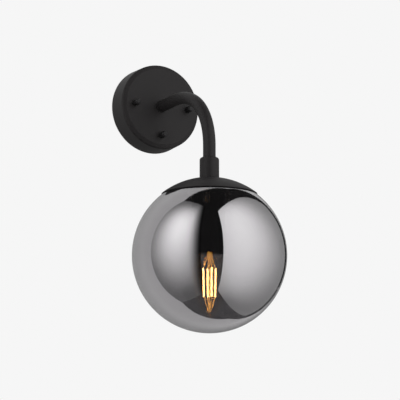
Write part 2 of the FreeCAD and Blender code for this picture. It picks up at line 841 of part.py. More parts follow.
def bulb_outline(inset):
    """Glass outline from neck to tip: a hollow neck curve, two belly curves and a small tip curve."""
    widest = bulb_widest_height
    upper_in = bulb_upper_centre
    lower_in = bulb_radius - bulb_lower_curve
    rise = bulb_neck_rise
    neck_centre = bulb_neck_radius + bulb_neck_curve
    span = bulb_upper_curve + bulb_neck_curve
    join_upper = bulb_upper_curve - inset
    upper_join = (upper_in + join_upper * (neck_centre - upper_in) / span,
                  widest + join_upper * rise / span)
    neck_mid_angle = math.asin(rise / span) / 2
    neck_sweep = bulb_neck_curve + inset
    neck_mid = (neck_centre - neck_sweep * math.cos(neck_mid_angle),
                bulb_neck_height - neck_sweep * math.sin(neck_mid_angle))
    upper_angle = math.asin(rise / span) / 2
    upper_mid = (upper_in + join_upper * math.cos(upper_angle),
                 widest + join_upper * math.sin(upper_angle))
    tip_span = bulb_lower_curve - bulb_tip_curve
    tip_drop = math.sqrt(tip_span ** 2 - lower_in ** 2)
    join_lower = bulb_lower_curve - inset
    lower_join = (lower_in - join_lower * lower_in / tip_span, widest - join_lower * tip_drop / tip_span)
    lower_angle = math.asin(tip_drop / tip_span) / 2
    lower_mid = (lower_in + join_lower * math.cos(lower_angle),
                 widest - join_lower * math.sin(lower_angle))
    tip_centre = widest - tip_drop
    tip_radius = bulb_tip_curve - inset
    tip_angle = math.atan2(-lower_in, tip_drop) / 2
    tip_mid = (tip_radius * math.sin(tip_angle), tip_centre - tip_radius * math.cos(tip_angle))
    start = (bulb_neck_radius - inset, bulb_neck_height)
    steps = [neck_mid + upper_join, upper_mid + (bulb_radius - inset, widest),
             lower_mid + lower_join, tip_mid + (0, tip_centre - tip_radius)]
    return start, steps


def bulb_glass():
    """Thin amber glass, a closed shell round the filaments."""
    start, outer = bulb_outline(0)
    inner_start, inner = bulb_outline(bulb_wall)
    outside = turned(start, *(outer + [(0, bulb_neck_height)]))
    inside = turned(inner_start, *(inner + [(0, bulb_neck_height)]))
    return on_drop(outside.cut(inside))


def bulb_screw_cap():
    """Rolled brass cap: a ring for each turn of its thread, and a skirt over the neck."""
    crest = screw_crest_radius
    root = screw_root_radius
    mean = (crest + root) / 2
    top = screw_top_height
    steps = []
    for turn in range(screw_turns):
        high = top - turn * screw_pitch
        quarter = screw_pitch / 4
        steps.append((crest, high - quarter, mean, high - 2 * quarter))
        steps.append((root, high - 3 * quarter, mean, high - 4 * quarter))
    steps += [(skirt_radius, thread_low_height - (skirt_radius - mean)), (skirt_radius, skirt_bottom_height),
              (skirt_inner_radius, skirt_bottom_height), (skirt_inner_radius, bulb_neck_height + rest_gap),
              (root - screw_wall, thread_low_height), (root - screw_wall, top - screw_wall),
              (insulator_radius, top - screw_wall), (insulator_radius, top)]
    return on_drop(turned((mean, top), *steps))


def bulb_insulator():
    """Dark glass button between the cap and its contact tip."""
    top = screw_top_height + insulator_thick
    inner = insulator_radius - thread_gap
    button = turned((0, screw_top_height - screw_wall), (inner, screw_top_height - screw_wall),
                    (inner, screw_top_height), (bulb_contact_radius, top), (0, top))
    return on_drop(button)


def bulb_tip():
    """Solder contact tip, round so that its turning makes no difference."""
    low = screw_top_height + insulator_thick + seat_gap
    r = bulb_contact_radius
    return on_drop(turned((0, low), (r, low), crown(r, low, bulb_contact_height - low)))


def bulb_stem():
    """Glass foot with the rod and bead that carry the filaments."""
    flare = stem_flare_height
    low = stem_bottom_height
    wide = bulb_neck_radius - bulb_wall - hole_gap
    foot = turned((0, flare), (wide, flare), (wide, flare - stem_flare_edge),
                  (stem_rod_radius, flare - stem_flare_edge - stem_flare_run), (stem_rod_radius, low),
                  (0, low))
    thin = rod(support_rod_radius, bead_height, low)
    bead = Part.makeSphere(bead_radius, vec(0, 0, bead_height))
    return on_drop(foot.fuse([thin, bead]).removeSplitter())


def filament_ends(k):
    """Top and bottom of filament k about the globe's centre."""
    angle = math.radians(filament_first_angle + k * 360.0 / filament_count)
    top = vec(filament_circle_top * math.cos(angle), filament_circle_top * math.sin(angle),
              filament_top_height)
    bottom = vec(filament_circle_bottom * math.cos(angle), filament_circle_bottom * math.sin(angle),
                 filament_bottom_height)
    return top, bottom


def bar_between(a, b, radius):
    run = b - a
    return Part.makeCylinder(radius, run.Length, a, run)


def bulb_filaments():
    return [on_drop(bar_between(*filament_ends(k), filament_radius)) for k in range(filament_count)]


def bulb_wires():
    """Wires from the stem to the filaments' tops, and from their bottoms to the bead."""
    wires = []
    for k in range(filament_count):
        top, bottom = filament_ends(k)
        out = vec(top.x, top.y, 0).normalize()
        root = out * (stem_rod_radius - 2 * wire_radius) + vec(0, 0, stem_bottom_height - wire_radius)
        hook = out * (bead_radius + wire_radius) + vec(0, 0, bead_height)
        up = (top - root).normalize()
        down = (hook - bottom).normalize()
        wires.append(on_drop(bar_between(root, top - up * wire_radius, wire_radius)))
        wires.append(on_drop(bar_between(bottom + down * wire_radius, hook, wire_radius)))
    return wires


# ---- leads ----

def lead(side):
    """Insulated lead from the terminal block, through the whole arm, to the lampholder."""
    x = side * lead_offset
    depth = way_depth() + lead_turn_radius
    reach = block_bottom + lead_into_block
    spread = math.atan2(way_spacing / 2 - lead_offset, reach)
    up = vec(side * math.sin(spread), 0, math.cos(spread))
    out = vec(0, 1, 0)
    bend_start = vec(x, -depth, 0)
    slant = math.sqrt(0.5)
    bend_mid = bend_start + up * (lead_turn_radius * (1.0 - slant)) + out * (lead_turn_radius * slant)
    bend_end = bend_start + up * lead_turn_radius + out * lead_turn_radius
    block_end = bend_start + up * (reach / math.cos(spread)) + out * lead_turn_radius
    edges = [line_edge(block_end, bend_end), arc_edge(bend_end, bend_mid, bend_start)]
    turn = math.radians(lead_side_angle)
    arc_side = lead_side_radius * (1.0 - math.cos(turn))
    arc_fall = lead_side_radius * math.sin(turn)
    run_side = holder_lead_spacing / 2 - lead_offset - 2 * arc_side
    run_fall = run_side / math.tan(turn)
    spread_top = globe_height + core_top_height + 2 * arc_fall + run_fall + lead_straight_end
    edges += arm_path(x, depth, spread_top)
    half_side = lead_side_radius * (1.0 - math.cos(turn / 2))
    half_fall = lead_side_radius * math.sin(turn / 2)
    a = vec(x, -arm_reach, spread_top)
    b = a + vec(side * arc_side, 0, -arc_fall)
    c = b + vec(side * run_side, 0, -run_fall)
    d = c + vec(side * arc_side, 0, -arc_fall)
    low = vec(d.x, d.y, globe_height + core_top_height - holder_lead_depth + rest_gap)
    edges += [arc_edge(a, a + vec(side * half_side, 0, -half_fall), b), line_edge(b, c),
              arc_edge(c, d + vec(-side * half_side, 0, half_fall), d), line_edge(d, low)]
    return sweep_round(edges, lead_radius)


# ---- one file for each piece ----

def save(name, shapes):
    """Write one piece, or a group of like pieces as separate solids."""
    solids = shapes if isinstance(shapes, list) else [shapes]
    found = []
    for shape in solids:
        found += shape.Solids
    body = found[0] if len(found) == 1 else Part.makeCompound(found)
    assert body.isValid(), name
    body.exportStep("parts/%s.step" % name)
    print("%-18s %2d solid(s) %9.1f mm3" % (name, len(found), body.Volume))


pieces = {
    "wall_bracket": wall_bracket(),
    "bracket_studs": bracket_studs(),
    "stud_nuts": stud_nuts(),
    "inlet_grommet": inlet_grommet(),
    "earth_screw": earth_screw(),
    "earth_washer": earth_washer(),
    "earth_tag": earth_tag(),
    "earth_lead": earth_lead(),
    "terminal_block": terminal_block(),
    "terminal_sleeves": terminal_sleeves(),
    "terminal_screws": terminal_screws(),
    "block_screw": block_screw(),
    "canopy": canopy(),
    "cap_nuts": cap_nuts(),
    "arm_tube": arm_tube(),
    "arm_nipple": arm_nipple(),
    "arm_star_washer": arm_star_washer(),
    "arm_lock_nut": arm_lock_nut(),
    "drop_nipple": drop_nipple(),
    "collar": collar(),
    "globe_cap": globe_cap(),
    "cap_star_washer": cap_star_washer(),
    "cap_lock_nut": cap_lock_nut(),
    "carrier_nut": carrier_nut(),
    "spring_carrier": spring_carrier(),
    "globe_springs": globe_springs(),
    "spring_rivets": spring_rivets(),
    "holder_sleeve": holder_sleeve(),
    "holder_top": holder_top(),
    "holder_core": holder_core(),
    "holder_screws": holder_screws(),
    "holder_body": holder_body(),
    "thread_shell": thread_shell(),
    "side_contact": side_contact(),
    "centre_contact": centre_contact(),
    "live_lead": lead(1),
    "neutral_lead": lead(-1),
    "glass_globe": glass_globe(),
    "bulb_tip": bulb_tip(),
    "bulb_insulator": bulb_insulator(),
    "bulb_screw_cap": bulb_screw_cap(),
    "bulb_glass": bulb_glass(),
    "bulb_stem": bulb_stem(),
    "bulb_filaments": bulb_filaments(),
    "bulb_wires": bulb_wires(),
}

for piece, shapes in pieces.items():
    save(piece, shapes)

print("arm reach %.2f, globe centre %.2f below the canopy's centre" % (arm_reach, -globe_height))
print("bulb hangs %.2f below the globe's centre" % -bulb_outline(0)[1][-1][-1])
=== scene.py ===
# %% [markdown]
# # A globe wall sconce, dressed in Blender
#
# The light is a matt black wall canopy, a bent tube, a spun cap and a half mirrored smoke glass globe with a
# candle-shaped filament bulb in it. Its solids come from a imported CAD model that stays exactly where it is.
# This lesson gives every piece the finish of the real one, makes the threaded rods and the filaments again
# with the detail that their solids leave out, and sets up a small product studio round the light.
#
# Lengths are written in millimetres and turned to metres where Blender needs them.

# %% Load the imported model
import json
import math
import bmesh
import bpy
from mathutils import Matrix, Vector


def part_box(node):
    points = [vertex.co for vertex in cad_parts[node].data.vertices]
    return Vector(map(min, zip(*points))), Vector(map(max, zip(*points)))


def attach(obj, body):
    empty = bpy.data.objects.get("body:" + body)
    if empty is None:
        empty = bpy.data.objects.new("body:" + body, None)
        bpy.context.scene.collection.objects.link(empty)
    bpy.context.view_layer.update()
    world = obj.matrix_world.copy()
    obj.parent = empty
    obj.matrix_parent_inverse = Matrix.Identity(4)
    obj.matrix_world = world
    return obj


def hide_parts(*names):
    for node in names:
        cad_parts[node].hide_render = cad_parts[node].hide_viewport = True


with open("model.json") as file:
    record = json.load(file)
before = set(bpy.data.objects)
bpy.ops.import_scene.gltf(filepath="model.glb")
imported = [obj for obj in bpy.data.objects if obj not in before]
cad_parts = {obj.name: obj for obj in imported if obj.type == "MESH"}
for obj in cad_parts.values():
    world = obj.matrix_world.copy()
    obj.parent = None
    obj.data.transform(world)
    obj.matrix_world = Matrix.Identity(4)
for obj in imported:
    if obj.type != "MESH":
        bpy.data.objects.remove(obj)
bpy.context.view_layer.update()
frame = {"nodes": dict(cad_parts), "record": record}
nodes = frame["nodes"]
MM = 0.001
AXIS_MM, GLOBE_HEIGHT_MM = (0.0, -127.4), -171.1        # the plumb axis of the globe, and its centre

# %% [markdown]
# ## Small helpers
#
# Paint charts and colour pickers give sRGB hex values, but light adds up in linear values, so one function
# turns the first into the second. A second function adds a node with its settings and links, which keeps a
# material's recipe readable from top to bottom.

# %% Colour and node helpers
def linear(hex_colour):
    """A linear RGBA colour from an sRGB hex value."""
    shares = [int(hex_colour[at:at + 2], 16) / 255 for at in (0, 2, 4)]
    return (*(s / 12.92 if s <= 0.04045 else ((s + 0.055) / 1.055) ** 2.4 for s in shares), 1.0)


def add(tree, kind, settings=None, **sockets):
    """A new node. Socket names are written with _ for spaces, and a socket as a value becomes a link."""
    node = tree.nodes.new(kind)
    for name, value in (settings or {}).items():
        setattr(node, name, value)
    for name, value in sockets.items():
        socket = node.inputs[int(name[1:])] if name[0] == "i" and name[1:].isdigit() else \
            node.inputs[name.replace("_", " ")]
        if isinstance(value, bpy.types.NodeSocket):
            tree.links.new(value, socket)
        else:
            socket.default_value = value
    return node


def material(name):
    """A material with only its Output node, and its tree."""
    made = bpy.data.materials.new(name)
    made.use_nodes = True
    made.node_tree.nodes.clear()
    return made, made.node_tree


def per_metre(size_mm):
    """The Scale of a noise pattern whose marks are size_mm across, on Object coordinates in metres."""
    return 1 / (size_mm * MM)


print("white background in linear light:", round(linear("F6F6F6")[0], 3))

# %% [markdown]
# ## The finishes
#
# Almost every finish here is one surface with three small truths: its colour isn't quite even, its roughness
# isn't either, and it has a grain of a known size and depth. So one recipe takes those facts and builds a
# Principled shader from them. The grain can be stretched along one axis, which is what turning, drawing and
# rolling leave behind on metal.

# %% The recipe for an opaque finish
def finish(name, dark, light, mottle_mm, rough, grain_mm, depth_mm, metallic=0.0, stretch=(1, 1, 1),
           **shader):
    """An opaque finish: colours dark to light in marks of mottle_mm, roughness rough[0] to rough[1], and a
    grain of grain_mm that stands depth_mm high. stretch squeezes the grain's pattern along an axis."""
    made, tree = material(name)
    place = add(tree, "ShaderNodeTexCoord")
    mottle = add(tree, "ShaderNodeTexNoise", Vector=place.outputs["Object"], Scale=per_metre(mottle_mm),
                 Detail=4.0)
    colour = add(tree, "ShaderNodeMix", {"data_type": "RGBA"}, Factor=mottle.outputs["Fac"],
                 i6=linear(dark), i7=linear(light))
    gloss = add(tree, "ShaderNodeMapRange", Value=mottle.outputs["Fac"], To_Min=rough[0], To_Max=rough[1])
    drawn = add(tree, "ShaderNodeMapping", Vector=place.outputs["Object"], Scale=stretch)
    grain = add(tree, "ShaderNodeTexNoise", Vector=drawn.outputs["Vector"], Scale=per_metre(grain_mm),
                Detail=2.0)
    bump = add(tree, "ShaderNodeBump", Height=grain.outputs["Fac"], Strength=1.0, Distance=depth_mm * MM)
    skin = add(tree, "ShaderNodeBsdfPrincipled", Base_Color=colour.outputs[2], Metallic=metallic,
               Roughness=gloss.outputs["Result"], Normal=bump.outputs["Normal"], **shader)
    add(tree, "ShaderNodeOutputMaterial", Surface=skin.outputs["BSDF"])
    return made


finishes = {}
print("opaque recipe ready")

# %% [markdown]
# ### Black paint
#
# The canopy, tube, collar, cap and lampholder sleeve are steel with a fine matt black powder coat: dry
# powder sprayed on and baked until it flows together. It scatters light softly, is a warm charcoal rather
# than a true black, and keeps a very fine orange peel. The real peel is about 0.5 mm, too fine for a picture
# where a millimetre is one pixel, so it is drawn three times coarser and shallow. The cap nuts are blackened
# steel, a little deeper and glossier.

# %% Powder coat and blackened steel
finishes["matt_black"] = finish("matt black powder coat", "181617", "1E1C1C", 9.0, (0.50, 0.58), 1.5, 0.006,
                                Specular_IOR_Level=0.16)
finishes["black_nut"] = finish("blackened steel", "121112", "181718", 5.0, (0.40, 0.50), 0.8, 0.004,
                               Specular_IOR_Level=0.18)
print("black finishes:", [finishes[slot].name for slot in finishes])

# %% [markdown]
# ### Bare and plated metal
#
# Inside the light the steel is zinc plated: bluish white, slightly cloudy, with crystals a few millimetres
# across. Brass shows where current flows, and it is rolled or turned, so its grain runs one way. The springs
# are blue-grey hardened strip, and the carrier's steel is passivated to a warm grey brown, the colour that
# shows just under the cap. The wires in the bulb are nickel iron in a copper skin, which seals to glass.
# Their amber glint beside the filaments is a painted glow, a faint amber emission in the wire's finish.

# %% Steel and zinc
METAL = 1.0
finishes["bracket_steel"] = finish("zinc plated steel plate", "A9ADB0", "C6C9CA", 6.0, (0.30, 0.45), 2.5,
                                   0.008, METAL)
finishes["zinc_fixings"] = finish("zinc plated steel fixing", "A6A9AC", "C4C6C6", 3.0, (0.25, 0.38), 0.6,
                                  0.006, METAL, (1, 1, 6))
finishes["carrier_steel"] = finish("passivated steel", "6E665C", "8B8275", 5.0, (0.26, 0.38), 1.0,
                                   0.004, METAL)
finishes["spring_steel"] = finish("hardened spring strip", "8F9296", "B4B5B4", 4.0, (0.18, 0.30), 0.6,
                                  0.003, METAL, (6, 6, 1))
print("steels made:", 4)

# %% Brass, tin, solder and wire
finishes["tinned_tag"] = finish("hot tinned brass", "B9B8B2", "D2D1CB", 2.5, (0.22, 0.34), 1.2, 0.008, METAL)
finishes["earth_brass"] = finish("turned brass", "B08C4A", "C9A865", 3.0, (0.22, 0.32), 0.5, 0.004, METAL,
                                 (1, 6, 1))
finishes["terminal_brass"] = finish("extruded brass", "B49354", "CBAE70", 2.5, (0.25, 0.36), 0.5, 0.004,
                                    METAL, (1, 1, 8))
finishes["contact_brass"] = finish("stamped brass strip", "BD9D5C", "D2B678", 2.5, (0.20, 0.30), 0.6, 0.003,
                                   METAL)
finishes["cap_brass"] = finish("rolled brass screw shell", "C09F5E", "D8BD80", 3.5, (0.18, 0.30), 0.7, 0.004,
                               METAL, (1, 1, 5))
finishes["solder"] = finish("soft solder", "A9A8A5", "C2C1BD", 1.2, (0.24, 0.40), 0.9, 0.02, METAL)
# Painted glow: the amber emission stands for the filaments' light glinting on the wires.
finishes["nickel_wire"] = finish("copper clad dumet wire with painted glow", "E0A050", "F6CC88", 1.5, (0.40, 0.60), 0.8, 0.02,
                                 METAL, (4, 4, 1), Emission_Color=linear("FFD06A"), Emission_Strength=4.5)
print("metals made:", len(finishes) - 2)

# %% [markdown]
# ### Plastics, rubber and ceramic
#
# The lampholder is moulded in black heat resistant plastic with a spark-eroded grain, its core is white
# steatite, a fired ceramic with faint specks. The terminal block is milky nylon. The wires have extruded
# insulation, brown for live, blue for neutral and green with a yellow stripe for earth, and the cable's
# bush is dull black rubber.

# %% Insulators
finishes["holder_plastic"] = finish("moulded black polyester", "1A1A1B", "242425", 4.0, (0.42, 0.55), 0.7,
                                    0.012)
finishes["core_ceramic"] = finish("steatite", "DAD5C8", "ECE8DE", 1.4, (0.35, 0.50), 0.5, 0.006)
finishes["block_plastic"] = finish("milky nylon", "D9D8D0", "EAE9E3", 5.0, (0.34, 0.46), 1.0, 0.006,
                                   Subsurface_Weight=0.25, Subsurface_Scale=0.002)
finishes["live_insulation"] = finish("brown silicone sleeving", "5A3420", "6E432B", 4.0, (0.40, 0.52), 0.8,
                                     0.006)
finishes["neutral_insulation"] = finish("blue silicone sleeving", "1F4F96", "2D63AE", 4.0, (0.40, 0.52), 0.8,
                                        0.006)
finishes["rubber_bush"] = finish("moulded black rubber", "1E1E1E", "2B2A29", 3.0, (0.62, 0.76), 0.6, 0.015)
print("finishes made:", len(finishes))

# %% [markdown]
# A real earth wire has a yellow stripe that the extruder lays along its green sleeve. This one is out of
# sight inside the canopy, so plain diagonal bands stand for the stripe. In Blender's wave pattern a diagonal
# band comes back after a tenth of a full turn, counted in the pattern's own unit.

# %% Earth insulation
STRIPE_UNIT_MM = 6.4
made, tree = material("green and yellow sleeving")
place = add(tree, "ShaderNodeTexCoord")
stripe = add(tree, "ShaderNodeTexWave", {"wave_type": "BANDS", "bands_direction": "DIAGONAL"},
             Vector=place.outputs["Object"], Scale=per_metre(STRIPE_UNIT_MM), Distortion=0.4)
edge = add(tree, "ShaderNodeMapRange", Value=stripe.outputs["Fac"], From_Min=0.46, From_Max=0.54)
paint = add(tree, "ShaderNodeMix", {"data_type": "RGBA"}, Factor=edge.outputs["Result"],
            i6=linear("2F8F3C"), i7=linear("E3CC2B"))
skin = add(tree, "ShaderNodeBsdfPrincipled", Base_Color=paint.outputs[2], Roughness=0.45)
add(tree, "ShaderNodeOutputMaterial", Surface=skin.outputs["BSDF"])
finishes["earth_insulation"] = made
print("stripe repeats every", round(STRIPE_UNIT_MM * math.tau / 10, 1), "mm")

# %% [markdown]
# ### Glass
#
# The globe is blown soda glass with a thin smoke grey metal film, so it is half mirror and half window: each
# wall throws back more than a quarter of the light and lets about a sixth through. One Principled shader
# does both. Transmission makes it glass, Metallic gives the mirror's share, and the base colour tints what
# comes through and what comes back. Blowing leaves a faint waviness, tens of millimetres long.
#
# The bulb's envelope is clear glass with an amber lacquer, its stem is clear lead glass, and the insulator
# round the solder tip is nearly black vitrified glass. The stem and the wires stand a few millimetres from
# rods that are hundreds of times brighter than the room. Few paths of light find them there, so a little
# emission of the same amber stands for that glow.

# %% Glasses
def glass(name, tint, metallic, ior, wave_mm, depth_mm, **shader):
    """A lone Principled glass with a faint waviness of wave_mm."""
    made, tree = material(name)
    place = add(tree, "ShaderNodeTexCoord")
    wave = add(tree, "ShaderNodeTexNoise", Vector=place.outputs["Object"], Scale=per_metre(wave_mm),
               Detail=1.0)
    bump = add(tree, "ShaderNodeBump", Height=wave.outputs["Fac"], Strength=1.0, Distance=depth_mm * MM)
    skin = add(tree, "ShaderNodeBsdfPrincipled", Base_Color=linear(tint), Metallic=metallic, IOR=ior,
               Roughness=0.0, Transmission_Weight=1.0, Normal=bump.outputs["Normal"], **shader)
    add(tree, "ShaderNodeOutputMaterial", Surface=skin.outputs["BSDF"])
    return made


finishes["smoked_glass"] = glass("half mirrored smoke glass", "BCBABC", 0.42, 1.5, 45.0, 0.02)
finishes["amber_glass"] = glass("amber lacquered glass", "F6D9A8", 0.0, 1.5, 20.0, 0.01)
# Painted glow: the stem's amber emission stands for the filaments' light caught in the glass.
finishes["stem_glass"] = glass("clear lead glass", "F4F4F0", 0.0, 1.55, 4.0, 0.02,
                               Emission_Color=linear("FFD06A"), Emission_Strength=1.0)
finishes["dark_glass"] = finish("black vitrified glass", "0E0C10", "1A171C", 2.0, (0.08, 0.16), 1.0, 0.01)
print("glasses:", [finishes[slot].name for slot in ("smoked_glass", "amber_glass", "stem_glass")])

# %% [markdown]
# ### The glowing filaments
#
# Each filament is a thin rod of chips under a yellow phosphor coat. Lit, it is so much brighter than the
# room that a camera sees it as nearly white with a warm edge. The smoke glass takes five sixths of its light
# away, and it still has to look overexposed, so it is written hundreds of times brighter than white.

# %% Phosphor
made, tree = material("lit phosphor coat")
place = add(tree, "ShaderNodeTexCoord")
chips = add(tree, "ShaderNodeTexNoise", Vector=place.outputs["Object"], Scale=per_metre(1.2), Detail=0.0)
glow = add(tree, "ShaderNodeMix", {"data_type": "RGBA"}, Factor=chips.outputs["Fac"],
           i6=linear("FFD296"), i7=linear("FFE4BC"))
skin = add(tree, "ShaderNodeBsdfPrincipled", Base_Color=linear("F2C14A"), Roughness=0.5,
           Emission_Color=glow.outputs[2], Emission_Strength=280.0)
add(tree, "ShaderNodeOutputMaterial", Surface=skin.outputs["BSDF"])
finishes["filament"] = made
print("phosphor made")

# %% [markdown]
# ## Dressing the CAD nodes
#
# The record names a material slot for each node. A CAD node's mesh is never touched: only its material slot
# changes.

# %% Put each finish on its nodes
slots = {}
for part in frame["record"]["subparts"]:
    slots[part["node"]] = part["material_slot"]
for node, slot in slots.items():
    skins = nodes[node].data.materials
    skins.clear()
    skins.append(finishes[slot])
print("nodes dressed:", len(slots), "with", len(set(slots.values())), "finishes")

# %% [markdown]
# ## Threads
#
# The two pipe nipples and the three studs are cut from threaded rod. The solids only have their outside
# diameter, so the visible rods are made again here: a plain core turned to the thread's root, and a ridge
# that winds round it. A ridge is one profile that follows a spiral, which is what Geometry Nodes does best:
# a spiral curve, a small round profile, and Curve to Mesh. The core comes in as the modified mesh. A real
# ridge is a sharp V. At a quarter of a millimetre high, a rolled crest looks the same.

# %% A rod's core
LARGEST_CHAMFER = 0.3


def core(name, outer, inner, length, steps=40):
    """A chamfered rod or pipe along Z from 0 to length, sizes in millimetres, round in so many steps."""
    nick = min(LARGEST_CHAMFER, outer / 6)
    line = [(outer - nick, 0), (outer, nick), (outer, length - nick), (outer - nick, length)]
    if inner:
        line += [(inner, length), (inner, 0)]
    bm = bmesh.new()
    rings = [[bm.verts.new(Vector((r * math.cos(turn), r * math.sin(turn), z)) * MM)
              for turn in (math.tau * k / steps for k in range(steps))] for r, z in line]
    pairs = list(zip(rings, rings[1:])) + ([(rings[-1], rings[0])] if inner else [])
    for low, high in pairs:
        for k in range(steps):
            bm.faces.new((low[k], low[k - 1], high[k - 1], high[k]))
    if not inner:
        bm.faces.new(rings[0])
        bm.faces.new(rings[-1])
    bmesh.ops.recalc_face_normals(bm, faces=bm.faces)
    mesh = bpy.data.meshes.new(name)
    bm.to_mesh(mesh)
    bm.free()
    made = bpy.data.objects.new(name, mesh)
    bpy.context.scene.collection.objects.link(made)
    return made


print("core helper ready")

# %% [markdown]
# Each node tree has named inputs for its sizes, ends in Realize Instances and Set Material, and is turned
# into a plain mesh as soon as it has been evaluated.

# %% Node tree helpers
SHARP_ANGLE = math.radians(35)


def node_tree(name, sizes):
    """A geometry node group with a Geometry input and one float or whole-number input for each size."""
    tree = bpy.data.node_groups.new(name, "GeometryNodeTree")
    tree.interface.new_socket("Geometry", in_out="INPUT", socket_type="NodeSocketGeometry")
    for size, value in sizes.items():
        kind = "NodeSocketInt" if isinstance(value, int) else "NodeSocketFloat"
        tree.interface.new_socket(size, in_out="INPUT", socket_type=kind).default_value = value
    tree.interface.new_socket("Geometry", in_out="OUTPUT", socket_type="NodeSocketGeometry")
    return tree, tree.nodes.new("NodeGroupInput")


def close(tree, parts, skin):
    """Joins the parts, realises them, gives them their finish and sends them out."""
    joined = tree.nodes.new("GeometryNodeJoinGeometry")
    for part in parts:
        tree.links.new(part, joined.inputs[0])
    real = add(tree, "GeometryNodeRealizeInstances", Geometry=joined.outputs[0])
    dressed = add(tree, "GeometryNodeSetMaterial", Geometry=real.outputs[0], Material=skin)
    add(tree, "NodeGroupOutput", Geometry=dressed.outputs[0])


def grown(base, tree, sizes):
    """The plain mesh that a tree makes from an object, with its sizes set by the sockets' identifiers."""
    work = base.modifiers.new("grow", "NODES")
    work.node_group = tree
    for item in tree.interface.items_tree:
        if item.in_out == "INPUT" and item.name in sizes:
            work[item.identifier] = sizes[item.name]
    seen = base.evaluated_get(bpy.context.evaluated_depsgraph_get())
    mesh = bpy.data.meshes.new_from_object(seen, preserve_all_data_layers=True,
                                           depsgraph=bpy.context.evaluated_depsgraph_get())
    bpy.data.objects.remove(base)
    return mesh


def placed(name, mesh, spots, body, slot_name, *stands_for):
    """One piece from copies of a mesh at the matrices in spots, riding on a body in place of CAD nodes."""
    bm = bmesh.new()
    for spot in spots:
        copy = mesh.copy()
        copy.transform(spot)
        bm.from_mesh(copy)
        bpy.data.meshes.remove(copy)
    piece_mesh = bpy.data.meshes.new(name)
    bm.to_mesh(piece_mesh)
    bm.free()
    piece_mesh.materials.append(finishes[slot_name])
    piece_mesh.shade_smooth()
    piece_mesh.set_sharp_from_angle(angle=SHARP_ANGLE)
    piece = bpy.data.objects.new(name, piece_mesh)
    bpy.context.scene.collection.objects.link(piece)
    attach(piece, body)
    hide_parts(*stands_for)
    return piece


print("tree helpers ready")

# %% The ridge of a thread
STEPS_A_TURN, CREST_SIDES = 28, 6

ridge_tree, sizes_in = node_tree("thread ridge", {"Root radius": 4.6 * MM, "Ridge": 0.25 * MM, "Turns": 20.0,
                                                  "Rise": 20.0 * MM, "Start": 0.5 * MM})
spiral = add(ridge_tree, "GeometryNodeCurveSpiral", Resolution=STEPS_A_TURN,
             Rotations=sizes_in.outputs["Turns"], Start_Radius=sizes_in.outputs["Root radius"],
             End_Radius=sizes_in.outputs["Root radius"], Height=sizes_in.outputs["Rise"])
lift = add(ridge_tree, "ShaderNodeCombineXYZ", Z=sizes_in.outputs["Start"])
raised = add(ridge_tree, "GeometryNodeTransform", Geometry=spiral.outputs[0], Translation=lift.outputs[0])
crest = add(ridge_tree, "GeometryNodeCurvePrimitiveCircle", Resolution=CREST_SIDES,
            Radius=sizes_in.outputs["Ridge"])
ridge = add(ridge_tree, "GeometryNodeCurveToMesh", Curve=raised.outputs[0], Profile_Curve=crest.outputs[0],
            Fill_Caps=True)
close(ridge_tree, [sizes_in.outputs["Geometry"], ridge.outputs[0]], finishes["zinc_fixings"])


def threaded(name, radius, bore, length, pitch, ridge_mm):
    """The mesh of a threaded rod or pipe along Z, in millimetres. Its ridge stops short of both ends."""
    root = radius - ridge_mm
    rise = length - 4 * ridge_mm
    return grown(core(name, root, bore, length), ridge_tree,
                 {"Root radius": root * MM, "Ridge": ridge_mm * MM, "Turns": rise / pitch, "Rise": rise * MM,
                  "Start": 2 * ridge_mm * MM})


print("ridge tree inputs:", [item.name for item in ridge_tree.interface.items_tree if item.in_out == "INPUT"])

# %% [markdown]
# The nipples have a 10 mm thread of 1 mm pitch and the studs a 4 mm thread of 0.7 mm pitch, both standard.
# The boxes of the CAD nodes say where they begin and how long they are.

# %% Nipples
NIPPLE_RADIUS, NIPPLE_BORE, NIPPLE_PITCH, NIPPLE_RIDGE = 5.0, 3.7, 1.0, 0.25
OUTWARDS = Matrix.Rotation(math.radians(90), 4, "X")


def at(x, y, z):
    """A matrix that moves by a place in millimetres."""
    return Matrix.Translation(Vector((x, y, z)) * MM)


low, high = (Vector(corner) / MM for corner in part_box("arm_nipple"))
arm_rod = threaded("arm_nipple_thread", NIPPLE_RADIUS, NIPPLE_BORE, high.y - low.y, NIPPLE_PITCH,
                   NIPPLE_RIDGE)
arm_thread = placed("arm_nipple_thread", arm_rod, [at(0, high.y, 0) @ OUTWARDS], "fixture", "zinc_fixings",
                    "arm_nipple")

low, high = (Vector(corner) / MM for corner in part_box("drop_nipple"))
drop_rod = threaded("drop_nipple_thread", NIPPLE_RADIUS, NIPPLE_BORE, high.z - low.z, NIPPLE_PITCH,
                    NIPPLE_RIDGE)
drop_thread = placed("drop_nipple_thread", drop_rod, [at(*AXIS_MM, low.z)], "fixture", "zinc_fixings",
                     "drop_nipple")
print("nipples:", [(piece.name, len(piece.data.polygons)) for piece in (arm_thread, drop_thread)])

# %% Studs
STUD_RADIUS, STUD_PITCH, STUD_RIDGE, STUD_CIRCLE = 2.0, 0.7, 0.17, 31.5

low, high = (Vector(corner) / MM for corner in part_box("bracket_studs"))
stud_rod = threaded("bracket_stud_threads", STUD_RADIUS, 0.0, high.y - low.y, STUD_PITCH, STUD_RIDGE)
end_stud = math.copysign(STUD_CIRCLE, low.z + high.z)
spots = [at(x, high.y, z) @ OUTWARDS for x, z in ((STUD_CIRCLE, 0), (-STUD_CIRCLE, 0), (0, end_stud))]
stud_threads = placed("bracket_stud_threads", stud_rod, spots, "fixture", "zinc_fixings", "bracket_studs")
print("studs:", len(spots), "with", len(stud_threads.data.polygons), "faces")

# %% [markdown]
# ## Filament rods
#
# A filament of this kind is a strip with a row of light-emitting chips, dipped in phosphor silicone that
# shrinks a little between the chips. So it is a thin rod with a bead over each chip. The beads repeat along
# a line, so they are instances on the points of a line in Geometry Nodes.

